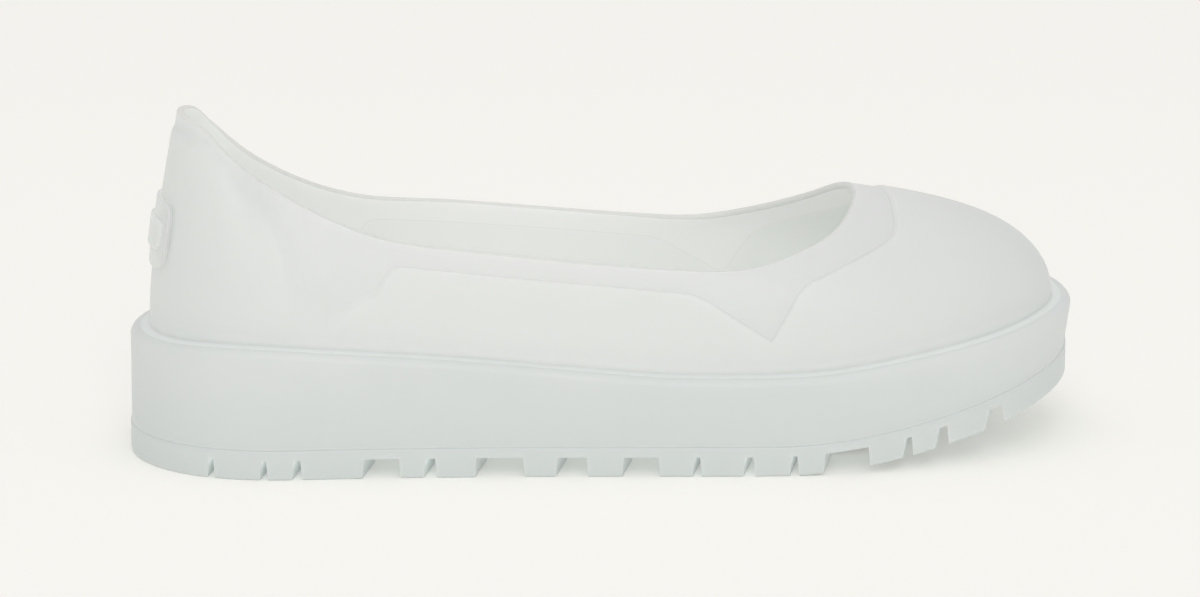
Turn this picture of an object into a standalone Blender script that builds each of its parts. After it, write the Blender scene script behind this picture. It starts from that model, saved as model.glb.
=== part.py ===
"""A rubber overshoe for the right foot, slipped over a boot.

Four moulded pieces: a lugged outsole, a cupped sole wall with a rounded lip, a
thin hollow upper that stands inside the cup, and a plain raised heel badge.
+X runs to the toe, -Y is the outer side of the foot, +Z is up, and the tread
stands on z = 0 under the middle of the shoe.
"""
import math
from bisect import bisect_right
from collections import namedtuple

import bmesh
import bpy
from mathutils import Vector

MM = 0.001

# Sole
SOLE_LENGTH = 288 * MM
BALL_HALF_WIDTH = 58 * MM
HEEL_ROUND = 46 * MM
HEEL_SQUARENESS = 2.1
TOE_ROUND = 66 * MM
TOE_SQUARENESS = 2.3
SPRING_START = 190 * MM
TOE_SPRING = 19.5 * MM
SPRING_POWER = 1.6
TOE_DRAFT = 1.7 * MM

# Outsole
TREAD_THICKNESS = 9 * MM
TREAD_STEP = 0.35 * MM
TREAD_EDGE_ROUND = 0.8 * MM
GROOVE_DEPTH = 6 * MM
GROOVE_DRAFT = 0.6 * MM
EDGE_LUG_DEPTH = 21 * MM
CHANNEL_WIDTH = 4.5 * MM
CHANNEL_DEPTH = 5 * MM
EDGE_GROOVE_SLANT = 0.3
CENTRE_GROOVE_WIDTH = 5 * MM
CENTRE_GROOVE_POINT = 7 * MM

# Sole cup
LIP_HEIGHT = 40.3 * MM
LIP_LEDGE = 5.5 * MM
LIP_ROUND = 2.6 * MM
LEDGE_FALL = 0.5 * MM
CUP_FLOOR = 3.5 * MM

# Upper
COLLAR_HEIGHT = 104.4 * MM
HEEL_LEAN = 10 * MM
HEEL_LEAN_REACH = 70 * MM
VAMP_START = 140 * MM
VAMP_LENGTH = 67 * MM
VAMP_POWER = 1.8
COLLAR_HEEL_ROUND = 24 * MM
COLLAR_THROAT_ROUND = 34 * MM
THROAT_SQUARENESS = 2
PANEL_WALL = 3.0 * MM
PANEL_STEP = 0.8 * MM
RIM_CREST = 0.6 * MM

# Heel badge
BADGE_HEIGHT = 68 * MM
BADGE_HALF_WIDTH = 15 * MM
BADGE_HALF_HEIGHT = 10.4 * MM
BADGE_THICKNESS = 0.9 * MM
BADGE_SQUARENESS = 5
BADGE_BEVEL = 0.3 * MM
PAD_HALF_WIDTH = 12 * MM
PAD_HALF_HEIGHT = 4.7 * MM
PAD_THICKNESS = 0.9 * MM

# Clearance between pieces that meet
FIT_GAP = 0.3 * MM

# Mesh fineness
RING_POINTS = 72
LIP_ARC_STEPS = 4
RIB_STEPS = 9
BADGE_POINTS = 32
CORNER_STEPS = 4
TURN_NUDGE = 0.002
BADGE_SEARCH_START = 0.5
BADGE_SEARCH_STEPS = 6
SHARP_ANGLE = math.radians(35)

# Finish
OUTSOLE_COLOUR = (0.62, 0.66, 0.63)
CUP_COLOUR = (0.68, 0.71, 0.68)
UPPER_COLOUR = (0.72, 0.74, 0.71)
BADGE_COLOUR = (0.70, 0.73, 0.70)
OUTSOLE_ROUGHNESS = 0.5
SATIN_ROUGHNESS = 0.45

# The sole's plan: stations as shares of its length, widths as shares of half the ball width
SolePlan = namedtuple("SolePlan", "station centre half_width")
SOLE_PLAN = (
    SolePlan(0.00, 0.000, 0.780),
    SolePlan(0.17, 0.000, 0.780),
    SolePlan(0.35, -0.030, 0.815),
    SolePlan(0.45, -0.055, 0.850),
    SolePlan(0.55, -0.065, 0.905),
    SolePlan(0.65, -0.065, 0.965),
    SolePlan(0.73, -0.050, 1.000),
    SolePlan(0.85, 0.010, 0.975),
    SolePlan(1.00, 0.070, 0.960),
)

# Height of the lip's crease as a share of its height at the heel
LipLine = namedtuple("LipLine", "station height")
LIP_LINE = (
    LipLine(0.00, 0.955),
    LipLine(0.10, 0.990),
    LipLine(0.22, 0.937),
    LipLine(0.33, 0.880),
    LipLine(0.44, 0.808),
    LipLine(0.54, 0.750),
    LipLine(0.63, 0.742),
    LipLine(0.70, 0.760),
    LipLine(0.79, 0.835),
    LipLine(0.88, 0.925),
    LipLine(0.95, 1.010),
    LipLine(1.00, 1.065),
)

# The collar's loop: widths as shares of half the ball width, heights of the heel's collar
CollarLine = namedtuple("CollarLine", "station centre half_width height")
COLLAR_LINE = (
    CollarLine(0.05, 0.000, 0.490, 1.000),
    CollarLine(0.07, 0.000, 0.483, 0.978),
    CollarLine(0.09, 0.000, 0.475, 0.930),
    CollarLine(0.14, 0.000, 0.437, 0.822),
    CollarLine(0.20, -0.010, 0.515, 0.731),
    CollarLine(0.26, -0.025, 0.610, 0.676),
    CollarLine(0.35, -0.045, 0.700, 0.646),
    CollarLine(0.45, -0.060, 0.735, 0.615),
    CollarLine(0.55, -0.065, 0.740, 0.590),
    CollarLine(0.62, -0.065, 0.725, 0.584),
    CollarLine(0.68, -0.060, 0.665, 0.616),
    CollarLine(0.73, -0.050, 0.680, 0.668),
    CollarLine(0.77, -0.045, 0.680, 0.754),
)

# How a rib of the upper curves from the lip to the collar: lower_rise lifts its first handle,
# upper_run and upper_rise place its second one, all as shares of the way between the two
RibCurve = namedtuple("RibCurve", "station lower_rise upper_run upper_rise")
RIB_CURVES = (
    RibCurve(0.00, 0.33, 0.60, 0.67),
    RibCurve(0.20, 0.36, 0.50, 0.70),
    RibCurve(0.50, 0.42, 0.42, 0.72),
    RibCurve(0.70, 0.50, 0.36, 0.82),
    RibCurve(0.85, 0.57, 0.41, 0.82),
    RibCurve(1.00, 0.60, 0.45, 0.77),
)

# Lower edge of the thin collar band, seen from the side: stations as shares of the sole's
# length, heights as shares of the collar's, corners rounded by a share of the sole's length
BandCorner = namedtuple("BandCorner", "station height rounding")
BAND_EDGE = (
    BandCorner(-0.100, 0.955, 0.000),
    BandCorner(0.075, 0.955, 0.012),
    BandCorner(0.106, 0.835, 0.015),
    BandCorner(0.153, 0.730, 0.022),
    BandCorner(0.169, 0.560, 0.020),
    BandCorner(0.194, 0.452, 0.000),
    BandCorner(0.217, 0.502, 0.006),
    BandCorner(0.240, 0.522, 0.008),
    BandCorner(0.262, 0.603, 0.010),
    BandCorner(0.575, 0.516, 0.018),
    BandCorner(0.650, 0.382, 0.000),
    BandCorner(0.683, 0.535, 0.018),
    BandCorner(0.792, 0.640, 0.014),
    BandCorner(0.820, 0.900, 0.000),
)
BAND_TOP = 1.3
BAND_CORE_LIFT = 25 * MM

# Grooves across the edge lugs, as shares of the sole's length at the tread's edge
EdgeGroove = namedtuple("EdgeGroove", "start end")
EDGE_GROOVES = (
    EdgeGroove(0.068, 0.077),
    EdgeGroove(0.121, 0.130),
    EdgeGroove(0.154, 0.165),
    EdgeGroove(0.226, 0.267),
    EdgeGroove(0.290, 0.304),
    EdgeGroove(0.342, 0.395),
    EdgeGroove(0.425, 0.460),
    EdgeGroove(0.493, 0.534),
    EdgeGroove(0.566, 0.576),
    EdgeGroove(0.618, 0.631),
    EdgeGroove(0.666, 0.676),
    EdgeGroove(0.701, 0.750),
    EdgeGroove(0.786, 0.797),
    EdgeGroove(0.822, 0.836),
    EdgeGroove(0.879, 0.898),
)

# Bent grooves across the tread's centre, as shares of the sole's length
CENTRE_GROOVES = (0.17, 0.27, 0.37, 0.47, 0.57, 0.67, 0.77, 0.86)


def clear_scene():
    """Remove every object that the file holds."""
    for item in list(bpy.data.objects):
        bpy.data.objects.remove(item, do_unlink=True)


def read_table(rows, column, at):
    """Read a column at a station, on a smooth curve through the table's rows."""
    knots = [row.station for row in rows]
    values = [getattr(row, column) for row in rows]
    at = min(max(at, knots[0]), knots[-1])
    index = min(bisect_right(knots, at) - 1, len(knots) - 2)

    def slope(knot):
        before = max(knot - 1, 0)
        after = min(knot + 1, len(knots) - 1)
        return (values[after] - values[before]) / (knots[after] - knots[before])

    width = knots[index + 1] - knots[index]
    share = (at - knots[index]) / width
    rest = 1 - share
    start = values[index] * (1 + 2 * share) * rest * rest + slope(index) * width * share * rest * rest
    end = values[index + 1] * (3 - 2 * share) * share * share
    return start + end - slope(index + 1) * width * rest * share * share


def rounded_end(distance, length, squareness):
    """Share of the full width at a distance from a rounded end."""
    if distance >= length:
        return 1.0
    reach = 1 - max(distance, 0) / length
    return (1 - reach ** squareness) ** (1 / squareness)


def station_at(turn):
    """Distance from the heel at a turn around the outline, which starts at the heel."""
    return SOLE_LENGTH * (1 - math.cos(turn)) / 2


def side_of(turn):
    """-1 on the outer side of the foot, 1 on the inner side."""
    return -1 if math.sin(turn) > 0 else 1


def edge_across(station, side, inset):
    """Place across the sole, a distance inside its edge, at a station; side 0 is the middle."""
    share = station / SOLE_LENGTH
    centre = BALL_HALF_WIDTH * read_table(SOLE_PLAN, "centre", share)
    half_width = BALL_HALF_WIDTH * read_table(SOLE_PLAN, "half_width", share)
    half_width *= rounded_end(station, HEEL_ROUND, HEEL_SQUARENESS)
    half_width *= rounded_end(SOLE_LENGTH - station, TOE_ROUND, TOE_SQUARENESS)
    return centre + side * (half_width - inset)


def sole_outline(turn):
    """Point of the sole's widest outline, with its station as x."""
    station = station_at(turn)
    return Vector((station, edge_across(station, side_of(turn), 0)))


def inset_outline(turn, inset):
    """Point of the sole's outline, moved in at right angles to it."""
    along = (sole_outline(turn + TURN_NUDGE) - sole_outline(turn - TURN_NUDGE)).normalized()
    return sole_outline(turn) + inset * Vector((-along.y, along.x))


def spring(station):
    """Height that the toe spring adds to the sole at a station."""
    reach = max(station - SPRING_START, 0) / (SOLE_LENGTH - SPRING_START)
    return TOE_SPRING * reach ** SPRING_POWER


def toe_weight(station):
    """0 along the sole, 1 at the tip of the toe."""
    reach = max(station - SPRING_START, 0) / (SOLE_LENGTH - SPRING_START)
    return min(reach, 1) ** 2


def lip_height(station):
    """Height of the crease between the lip and the upper."""
    return LIP_HEIGHT * read_table(LIP_LINE, "height", station / SOLE_LENGTH)


def ring_turns():
    """Turns of the points of a ring, from the heel by the outer side to the toe and back."""
    return [2 * math.pi * index / RING_POINTS for index in range(RING_POINTS)]


def sole_ring(inset, height):
    """Ring inside the sole's outline; height gives z from a point's station."""
    ring = []
    for turn in ring_turns():
        point = inset_outline(turn, inset(station_at(turn)))
        ring.append(Vector((point.x, point.y, height(point.x))))
    return ring


def plan_middle():
    """Middle of the tread's bounding box in plan, which becomes the origin."""
    points = [inset_outline(turn, -TREAD_STEP) for turn in ring_turns()]
    across = [point.y for point in points]
    return Vector(((SOLE_LENGTH - TREAD_STEP) / 2, (max(across) + min(across)) / 2, 0))


def material(name, colour, roughness):
    """Material of one sub-part."""
    finish = bpy.data.materials.new(name)
    finish.use_nodes = True
    shader = finish.node_tree.nodes["Principled BSDF"]
    shader.inputs["Base Color"].default_value = (*colour, 1)
    shader.inputs["Roughness"].default_value = roughness
    shader.inputs["Metallic"].default_value = 0
    return finish


def mesh_object(name, points, faces):
    """Object from points with stations as x, moved so that the plan's middle is the origin."""
    middle = plan_middle()
    mesh = bpy.data.meshes.new(name)
    mesh.from_pydata([point - middle for point in points], [], faces)
    shell = bmesh.new()
    shell.from_mesh(mesh)
    bmesh.ops.recalc_face_normals(shell, faces=shell.faces)
    shell.to_mesh(mesh)
    shell.free()
    item = bpy.data.objects.new(name, mesh)
    bpy.context.collection.objects.link(item)
    return item


def ladder_faces(first, count):
    """Faces that close a ring across, from its first point to the opposite one."""
    faces = [(first, first + 1, first + count - 1)]
    for step in range(1, count // 2 - 1):
        faces.append((first + step, first + step + 1, first + count - step - 1, first + count - step))
    half = first + count // 2
    faces.append((half - 1, half, half + 1))
    return faces


def ring_object(name, rings, looped=False):
    """Closed object through rings, capped at both ends unless the last meets the first."""
    count = len(rings[0])
    points = [point for ring in rings for point in ring]
    faces = []
    last = len(rings) if looped else len(rings) - 1
    for row in range(last):
        lower = row * count
        upper = (row + 1) % len(rings) * count
        for step in range(count):
            after = (step + 1) % count
            faces.append((lower + step, lower + after, upper + after, upper + step))
    if not looped:
        faces += ladder_faces(0, count)
        faces += ladder_faces((len(rings) - 1) * count, count)
    return mesh_object(name, points, faces)


def finish_piece(item, colour, roughness):
    """Give a piece its material and shade it smooth between its sharp edges."""
    item.data.materials.clear()
    item.data.materials.append(material(item.name, colour, roughness))
    item.data.shade_smooth()
    item.data.set_sharp_from_angle(angle=SHARP_ANGLE)


def subtract(item, cutter):
    """Cut one object out of another and keep the cutter as a hidden guide."""
    cutter.hide_render = True
    cutter.display_type = "WIRE"
    boolean = item.modifiers.new(cutter.name, "BOOLEAN")
    boolean.operation = "DIFFERENCE"
    boolean.solver = "EXACT"
    boolean.use_self = True
    boolean.object = cutter


def tread_top(station):
    """Height of the tread's upper face."""
    return spring(station) + TREAD_THICKNESS


def wall_inset(station):
    """How far the wall's foot stands inside the lip, at the drafted toe."""
    return TOE_DRAFT * toe_weight(station)


def groove_end(start, end, across):
    """Four corners of a groove's section at one place across the sole."""
    corners = []
    for station, depth in ((start - GROOVE_DRAFT, -GROOVE_DEPTH), (start + GROOVE_DRAFT, GROOVE_DEPTH),
                           (end - GROOVE_DRAFT, GROOVE_DEPTH), (end + GROOVE_DRAFT, -GROOVE_DEPTH)):
        corners.append(Vector((station, across, spring(station) + depth)))
    return corners


def add_bar(points, faces, sections):
    """Add one groove's bar, through its four-sided sections, to a cutter's points and faces."""
    first = len(points)
    last = first + 4 * (len(sections) - 1)
    points += [corner for section in sections for corner in section]
    faces.append(tuple(first + corner for corner in range(4)))
    faces.append(tuple(last + corner for corner in range(4)))
    for lower in range(first, last, 4):
        for corner in range(4):
            after = (corner + 1) % 4
            faces.append((lower + corner, lower + after, lower + 4 + after, lower + 4 + corner))


def groove_cutter():
    """All the grooves across the tread: short ones in from the edges and bent ones between."""
    points = []
    faces = []
    edge_end = EDGE_LUG_DEPTH + CHANNEL_WIDTH / 4
    centre_end = EDGE_LUG_DEPTH + CHANNEL_WIDTH * 3 / 4
    for groove in EDGE_GROOVES:
        start = groove.start * SOLE_LENGTH
        end = groove.end * SOLE_LENGTH
        for side in (-1, 1):
            outside = edge_across((start + end) / 2, side, -EDGE_LUG_DEPTH / 2)
            inside = edge_across((start + end) / 2, side, edge_end)
            shift = EDGE_GROOVE_SLANT * EDGE_LUG_DEPTH
            back = groove_end(start - shift / 2, end - shift / 2, outside)
            front = groove_end(start + shift, end + shift, inside)
            add_bar(points, faces, [back, front])
    for share in CENTRE_GROOVES:
        start = share * SOLE_LENGTH
        end = start + CENTRE_GROOVE_WIDTH
        point = groove_end(start + CENTRE_GROOVE_POINT, end + CENTRE_GROOVE_POINT,
                           edge_across(start, 0, 0))
        outer_end = groove_end(start, end, edge_across(start, -1, centre_end))
        inner_end = groove_end(start, end, edge_across(start, 1, centre_end))
        add_bar(points, faces, [outer_end, point, inner_end])
    return mesh_object("tread_groove_cutter", points, faces)


def channel_cutter():
    """Channel round the tread between its edge lugs and its centre."""
    outer = EDGE_LUG_DEPTH
    inner = EDGE_LUG_DEPTH + CHANNEL_WIDTH
    rings = []
    for inset, depth in ((outer, -CHANNEL_DEPTH), (outer, CHANNEL_DEPTH),
                         (inner, CHANNEL_DEPTH), (inner, -CHANNEL_DEPTH)):
        rings.append(sole_ring(lambda station: inset, lambda station: spring(station) + depth))
    return ring_object("tread_channel_cutter", rings, looped=True)


def make_outsole():
    """Tread layer with its edge lugs, channel and centre lugs."""
    def foot_inset(station):
        return wall_inset(station) - TREAD_STEP

    rings = [
        sole_ring(lambda station: foot_inset(station) + TREAD_EDGE_ROUND, spring),
        sole_ring(foot_inset, lambda station: spring(station) + TREAD_EDGE_ROUND),
        sole_ring(foot_inset, lambda station: tread_top(station) - FIT_GAP),
    ]
    outsole = ring_object("outsole", rings)
    subtract(outsole, channel_cutter())
    subtract(outsole, groove_cutter())
    finish_piece(outsole, OUTSOLE_COLOUR, OUTSOLE_ROUGHNESS)


def make_sole_cup():
    """Side wall with its rounded lip, and the floor that the boot stands on."""
    rings = [
        sole_ring(wall_inset, tread_top),
        sole_ring(lambda station: 0, lambda station: lip_height(station) - LEDGE_FALL - LIP_ROUND),
    ]
    for step in range(1, LIP_ARC_STEPS + 1):
        angle = math.pi / 2 * step / LIP_ARC_STEPS
        inset = LIP_ROUND * (1 - math.cos(angle))
        drop = LEDGE_FALL + LIP_ROUND * (1 - math.sin(angle))
        rings.append(sole_ring(lambda station: inset, lambda station: lip_height(station) - drop))
    rings.append(sole_ring(lambda station: LIP_LEDGE, lip_height))
    rings.append(sole_ring(lambda station: LIP_LEDGE, lambda station: tread_top(station) + CUP_FLOOR))
    cup = ring_object("sole_cup", rings)
    finish_piece(cup, CUP_COLOUR, SATIN_ROUGHNESS)


def collar_station(station):
    """Station of the collar's point that belongs to a station of the lip."""
    lean = HEEL_LEAN * max(1 - station / HEEL_LEAN_REACH, 0) ** 2
    reach = max(station - VAMP_START, 0) / (SOLE_LENGTH - VAMP_START)
    return station + lean - VAMP_LENGTH * reach ** VAMP_POWER


def collar_point(turn):
    """Point of the collar's loop on the panel surface."""
    margin = LIP_LEDGE + FIT_GAP
    start = collar_station(margin)
    end = collar_station(SOLE_LENGTH - margin)
    lip_station = margin + (SOLE_LENGTH - 2 * margin) * (1 - math.cos(turn)) / 2
    station = collar_station(lip_station)
    share = station / SOLE_LENGTH
    half_width = BALL_HALF_WIDTH * read_table(COLLAR_LINE, "half_width", share)
    half_width *= rounded_end(station - start, COLLAR_HEEL_ROUND, HEEL_SQUARENESS)
    half_width *= rounded_end(end - station, COLLAR_THROAT_ROUND, THROAT_SQUARENESS)
    across = BALL_HALF_WIDTH * read_table(COLLAR_LINE, "centre", share) + side_of(turn) * half_width
    return Vector((station, across, COLLAR_HEIGHT * read_table(COLLAR_LINE, "height", share)))


def upper_point(turn, rise):
    """Point of the upper's panel surface: rise is -1 at the floor, 0 at the lip, 1 at the collar."""
    plan = inset_outline(turn, LIP_LEDGE + FIT_GAP)
    lip = Vector((plan.x, plan.y, lip_height(plan.x)))
    if rise < 0:
        floor = tread_top(plan.x) + CUP_FLOOR + FIT_GAP
        return Vector((plan.x, plan.y, lip.z + (lip.z - floor) * rise))
    collar = collar_point(turn)
    share = station_at(turn) / SOLE_LENGTH
    way = collar - lip
    lower = lip + Vector((0, 0, way.z * read_table(RIB_CURVES, "lower_rise", share)))
    run = read_table(RIB_CURVES, "upper_run", share)
    upper = lip + Vector((way.x * run, way.y * run, way.z * read_table(RIB_CURVES, "upper_rise", share)))
    rest = 1 - rise
    return (lip * rest ** 3 + lower * 3 * rest ** 2 * rise
            + upper * 3 * rest * rise ** 2 + collar * rise ** 3)


def upper_normal(turn, rise):
    """Outward direction of the upper's surface."""
    around = upper_point(turn + TURN_NUDGE, rise) - upper_point(turn - TURN_NUDGE, rise)
    low = max(rise - TURN_NUDGE, 0) if rise >= 0 else rise
    high = min(low + 2 * TURN_NUDGE, 1)
    upward = upper_point(turn, high) - upper_point(turn, low)
    return around.cross(upward).normalized()


def upper_ring(rise, depth):
    """Ring of the upper at a depth below its panel surface."""
    ring = []
    for turn in ring_turns():
        ring.append(upper_point(turn, rise) - depth * upper_normal(turn, rise))
    return ring


def rim_ring(lift, depth):
    """Ring above the collar's edge, in line with the wall."""
    ring = []
    for turn in ring_turns():
        upward = (upper_point(turn, 1) - upper_point(turn, 1 - TURN_NUDGE)).normalized()
        point = upper_point(turn, 1) - depth * upper_normal(turn, 1)
        ring.append(point + lift * upward)
    return ring


def rib_rises():
    """Rises of the rings, from the floor to the collar."""
    return [-1] + [step / RIB_STEPS for step in range(RIB_STEPS + 1)]


def rounded_band_edge():
    """Points of the band's lower edge with its corners rounded."""
    corners = []
    for row in BAND_EDGE:
        corners.append((Vector((row.station * SOLE_LENGTH, row.height * COLLAR_HEIGHT)),
                        row.rounding * SOLE_LENGTH))
    points = [corners[0][0]]
    for before, (corner, rounding), after in zip(corners, corners[1:], corners[2:]):
        if rounding == 0:
            points.append(corner)
            continue
        start = corner + (before[0] - corner).normalized() * rounding
        end = corner + (after[0] - corner).normalized() * rounding
        for step in range(CORNER_STEPS + 1):
            share = step / CORNER_STEPS
            points.append(start * (1 - share) ** 2 + corner * 2 * share * (1 - share) + end * share ** 2)
    points.append(corners[-1][0])
    return points


def band_prism():
    """Everything above the band's lower edge, right across the shoe."""
    edge = rounded_band_edge()
    top = BAND_TOP * COLLAR_HEIGHT
    profile = edge + [Vector((edge[-1].x, top)), Vector((edge[0].x, top))]
    reach = 2 * BALL_HALF_WIDTH
    count = len(profile)
    points = [Vector((point.x, -reach, point.y)) for point in profile]
    points += [Vector((point.x, reach, point.y)) for point in profile]
    faces = [tuple(range(count)), tuple(range(count, 2 * count))]
    for step in range(count):
        after = (step + 1) % count
        faces.append((step, after, count + after, count + step))
    return mesh_object("band_prism", points, faces)


def make_upper():
    """Hollow upper, thick over its panels and thin in the band below the collar."""
    outer = [upper_ring(rise, 0) for rise in rib_rises()]
    inner = [upper_ring(rise, PANEL_WALL) for rise in reversed(rib_rises())]
    crest = rim_ring(RIM_CREST, (PANEL_STEP + PANEL_WALL) / 2)
    upper = ring_object("upper", outer + [crest] + inner, looped=True)

    band_core = [upper_ring(rise, PANEL_STEP) for rise in rib_rises()[1:]]
    band_core.append(rim_ring(BAND_CORE_LIFT, PANEL_STEP))
    band = band_prism()
    subtract(band, ring_object("band_core", band_core))
    subtract(upper, band)
    finish_piece(upper, UPPER_COLOUR, SATIN_ROUGHNESS)


def make_heel_badge():
    """Plain plate with a raised pad on the back of the heel."""
    def heel_point(across, height, offset):
        turn = -across / BALL_HALF_WIDTH
        rise = BADGE_SEARCH_START
        for _ in range(BADGE_SEARCH_STEPS):
            here = upper_point(turn, rise)
            by_turn = (upper_point(turn + TURN_NUDGE, rise) - here) / TURN_NUDGE
            by_rise = (upper_point(turn, rise + TURN_NUDGE) - here) / TURN_NUDGE
            miss_across = across - here.y
            miss_height = height - here.z
            spread = by_turn.y * by_rise.z - by_rise.y * by_turn.z
            turn += (miss_across * by_rise.z - miss_height * by_rise.y) / spread
            rise += (miss_height * by_turn.y - miss_across * by_turn.z) / spread
        return upper_point(turn, rise) + offset * upper_normal(turn, rise)

    def loop(half_width, half_height, offset):
        points = []
        for step in range(BADGE_POINTS):
            angle = 2 * math.pi * step / BADGE_POINTS
            wide = math.cos(angle)
            high = (1 - min(abs(wide), 1) ** BADGE_SQUARENESS) ** (1 / BADGE_SQUARENESS)
            height = BADGE_HEIGHT + math.copysign(half_height * high, math.sin(angle))
            points.append(heel_point(half_width * wide, height, offset))
        return points

    plate = FIT_GAP + BADGE_THICKNESS
    pad = plate + PAD_THICKNESS
    rings = [
        loop(BADGE_HALF_WIDTH, BADGE_HALF_HEIGHT, FIT_GAP),
        loop(BADGE_HALF_WIDTH, BADGE_HALF_HEIGHT, plate - BADGE_BEVEL),
        loop(BADGE_HALF_WIDTH - BADGE_BEVEL, BADGE_HALF_HEIGHT - BADGE_BEVEL, plate),
        loop(PAD_HALF_WIDTH, PAD_HALF_HEIGHT, plate),
        loop(PAD_HALF_WIDTH, PAD_HALF_HEIGHT, pad - BADGE_BEVEL),
        loop(PAD_HALF_WIDTH - BADGE_BEVEL, PAD_HALF_HEIGHT - BADGE_BEVEL, pad),
    ]
    badge = ring_object("heel_badge", rings)
    finish_piece(badge, BADGE_COLOUR, SATIN_ROUGHNESS)


def main():
    """Build the four pieces."""
    clear_scene()
    make_outsole()
    make_sole_cup()
    make_upper()
    make_heel_badge()


main()
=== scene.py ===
"""Looks of the rubber overshoe: its four moulded pieces at full smoothness, in frosted rubber.

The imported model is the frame. Each soft solid is made again from the same named sizes with a
finer surface, rounded edges and a soft step at the thick panels, and stands where the solid is.
+X runs to the toe, -Y is the outer side of the right foot, +Z is up, all in metres.
"""
import math
from bisect import bisect_right
from collections import namedtuple

import bmesh
import bpy
import numpy as np
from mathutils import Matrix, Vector


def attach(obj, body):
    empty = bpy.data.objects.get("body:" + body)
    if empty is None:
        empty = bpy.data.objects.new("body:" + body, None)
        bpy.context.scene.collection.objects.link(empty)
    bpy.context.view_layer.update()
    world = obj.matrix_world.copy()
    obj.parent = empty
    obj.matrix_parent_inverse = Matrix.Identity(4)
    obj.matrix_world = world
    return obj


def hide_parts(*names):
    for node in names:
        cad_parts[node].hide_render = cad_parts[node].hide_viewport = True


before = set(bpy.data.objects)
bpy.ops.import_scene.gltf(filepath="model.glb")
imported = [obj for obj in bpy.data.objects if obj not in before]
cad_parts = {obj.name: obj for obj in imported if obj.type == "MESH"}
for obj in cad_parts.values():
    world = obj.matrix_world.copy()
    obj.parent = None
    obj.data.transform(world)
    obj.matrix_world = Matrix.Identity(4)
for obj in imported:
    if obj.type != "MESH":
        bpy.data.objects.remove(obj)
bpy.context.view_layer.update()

MM = 0.001

# Sizes of the shoe, as in the part
SOLE_LENGTH = 288 * MM
BALL_HALF_WIDTH = 58 * MM
HEEL_ROUND = 46 * MM
HEEL_SQUARENESS = 2.1
TOE_ROUND = 66 * MM
TOE_SQUARENESS = 2.3
SPRING_START = 190 * MM
TOE_SPRING = 19.5 * MM
SPRING_POWER = 1.6
TOE_DRAFT = 1.7 * MM
TREAD_THICKNESS = 9 * MM
TREAD_STEP = 0.35 * MM
TREAD_EDGE_ROUND = 0.8 * MM
GROOVE_DEPTH = 6 * MM
GROOVE_DRAFT = 0.6 * MM
EDGE_LUG_DEPTH = 21 * MM
CHANNEL_WIDTH = 4.5 * MM
CHANNEL_DEPTH = 5 * MM
EDGE_GROOVE_SLANT = 0.3
CENTRE_GROOVE_WIDTH = 5 * MM
CENTRE_GROOVE_POINT = 7 * MM
LIP_HEIGHT = 40.3 * MM
LIP_LEDGE = 5.5 * MM
LIP_ROUND = 2.6 * MM
LEDGE_FALL = 0.5 * MM
CUP_FLOOR = 3.5 * MM
COLLAR_HEIGHT = 104.4 * MM
HEEL_LEAN = 10 * MM
HEEL_LEAN_REACH = 70 * MM
VAMP_START = 140 * MM
VAMP_LENGTH = 67 * MM
VAMP_POWER = 1.8
COLLAR_HEEL_ROUND = 24 * MM
COLLAR_THROAT_ROUND = 34 * MM
THROAT_SQUARENESS = 2
PANEL_WALL = 3.0 * MM
PANEL_STEP = 0.8 * MM
BADGE_HEIGHT = 68 * MM
BADGE_HALF_WIDTH = 15 * MM
BADGE_HALF_HEIGHT = 10.4 * MM
BADGE_THICKNESS = 0.9 * MM
BADGE_SQUARENESS = 5
PAD_HALF_WIDTH = 12 * MM
PAD_HALF_HEIGHT = 4.7 * MM
PAD_THICKNESS = 0.9 * MM
FIT_GAP = 0.3 * MM

SolePlan = namedtuple("SolePlan", "station centre half_width")
SOLE_PLAN = (
    SolePlan(0.00, 0.000, 0.780),
    SolePlan(0.17, 0.000, 0.780),
    SolePlan(0.35, -0.030, 0.815),
    SolePlan(0.45, -0.055, 0.850),
    SolePlan(0.55, -0.065, 0.905),
    SolePlan(0.65, -0.065, 0.965),
    SolePlan(0.73, -0.050, 1.000),
    SolePlan(0.85, 0.010, 0.975),
    SolePlan(1.00, 0.070, 0.960),
)

LipLine = namedtuple("LipLine", "station height")
LIP_LINE = (
    LipLine(0.00, 0.955),
    LipLine(0.10, 0.990),
    LipLine(0.22, 0.937),
    LipLine(0.33, 0.880),
    LipLine(0.44, 0.808),
    LipLine(0.54, 0.750),
    LipLine(0.63, 0.742),
    LipLine(0.70, 0.760),
    LipLine(0.79, 0.835),
    LipLine(0.88, 0.925),
    LipLine(0.95, 1.010),
    LipLine(1.00, 1.065),
)

CollarLine = namedtuple("CollarLine", "station centre half_width height")
COLLAR_LINE = (
    CollarLine(0.05, 0.000, 0.490, 1.000),
    CollarLine(0.07, 0.000, 0.483, 0.978),
    CollarLine(0.09, 0.000, 0.475, 0.930),
    CollarLine(0.14, 0.000, 0.437, 0.822),
    CollarLine(0.20, -0.010, 0.515, 0.731),
    CollarLine(0.26, -0.025, 0.610, 0.676),
    CollarLine(0.35, -0.045, 0.700, 0.646),
    CollarLine(0.45, -0.060, 0.735, 0.615),
    CollarLine(0.55, -0.065, 0.740, 0.590),
    CollarLine(0.62, -0.065, 0.725, 0.584),
    CollarLine(0.68, -0.060, 0.665, 0.616),
    CollarLine(0.73, -0.050, 0.680, 0.668),
    CollarLine(0.77, -0.045, 0.680, 0.754),
)

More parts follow.
